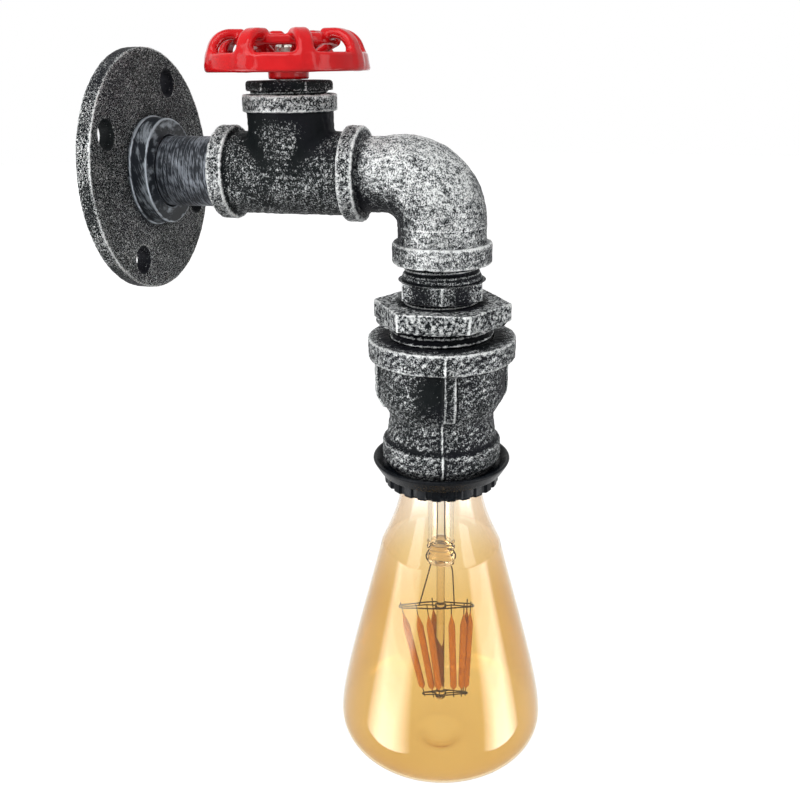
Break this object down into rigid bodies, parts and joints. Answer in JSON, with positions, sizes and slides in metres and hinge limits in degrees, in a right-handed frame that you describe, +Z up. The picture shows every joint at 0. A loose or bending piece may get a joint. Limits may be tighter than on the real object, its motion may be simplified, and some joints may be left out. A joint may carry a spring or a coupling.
{
  "type": "industrial pipe wall light",
  "caption": "Wall light built from iron pipe fittings: flange, tee with red handwheel, street elbow, hexagon bushing, reducing coupling, screw lampholder and amber filament lamp.",
  "frame": {"origin": "centre of the wall flange's back face, on the wall and on the arm's axis", "axes": "+Y into the wall, the arm stands out along -Y, +Z up; the lamp hangs along -Z"},
  "size_m": [0.076, 0.1373, 0.2524],
  "materials": {
    "cast_iron": "charcoal with a silver dry-brushed highlight over a cast grain",
    "pipe_steel": "pipe steel, brushed silver round the pipe over charcoal",
    "red_paint": "glossy red enamel",
    "black_plastic": "semi-gloss moulded black",
    "brass": "plain brass",
    "plated_steel": "zinc-plated",
    "rubber": "matt",
    "solder": "dull solder",
    "lamp_cap_brass": "rolled brass",
    "black_glass": "black insulating glass",
    "amber_glass": "clear amber-tinted glass",
    "clear_glass": "clear glass",
    "frame_wire": "dull nickel wire",
    "filament": "orange phosphor coating",
    "circuit_board": "green laminate"
  },
  "bodies": {
    "fixture": {"wall_flange": "cast_iron", "wall_nipple": "pipe_steel", "tee": "cast_iron", "bonnet_plug": "cast_iron", "spindle_seal": "rubber", "street_elbow": "cast_iron", "hex_nipple": "cast_iron", "hex_bushing": "cast_iron", "reducing_coupling": "cast_iron", "lampholder_body": "black_plastic", "lampholder_cap": "black_plastic", "screw_shell": "brass", "centre_contact": "brass", "terminals": "brass", "terminal_screws": "plated_steel"},
    "wheel": {"handwheel": "red_paint", "spindle": "brass", "spindle_clip": "plated_steel", "wheel_washer": "plated_steel", "wheel_screw": "plated_steel"},
    "shade_ring": {"shade_ring": "black_plastic"},
    "ring_nut": {"ring_nut": "black_plastic"},
    "lamp_tip": {"lamp_tip": "solder"},
    "lamp": {"lamp_cap": "lamp_cap_brass", "lamp_insulator": "black_glass", "lamp_envelope": "amber_glass", "lamp_stem": "clear_glass", "upper_frame": "frame_wire", "lower_frame": "frame_wire", "lead_wires": "frame_wire", "filaments": "filament", "lamp_driver": "circuit_board"}
  },
  "joints": [
    {"name": "handwheel_turn", "type": "hinge", "parent": "fixture", "child": "wheel", "pos_m": [0, -0.05285, 0.028], "axis": [0, 0, 1], "continuous": true},
    {"name": "shade_ring_travel", "type": "slide", "parent": "fixture", "child": "shade_ring", "axis": [0, 0, -1], "range_m": [0, 0.00375]},
    {"name": "ring_nut_turn", "type": "hinge", "parent": "shade_ring", "child": "ring_nut", "pos_m": [0, -0.10095, -0.0985], "axis": [0, 0, -1], "range_deg": [0, 900]},
    {"name": "lamp_travel", "type": "slide", "parent": "fixture", "child": "lamp_tip", "axis": [0, 0, -1], "range_m": [0, 0.0144]},
    {"name": "lamp_turn", "type": "hinge", "parent": "lamp_tip", "child": "lamp", "pos_m": [0, -0.10095, -0.09], "axis": [0, 0, -1], "range_deg": [0, 1440]}
  ],
  "couplings": [
    {"joint": "ring_nut_turn", "follows": "shade_ring_travel", "rad_per_m": 4188.8},
    {"joint": "lamp_turn", "follows": "lamp_travel", "rad_per_m": 1745.3}
  ]
}
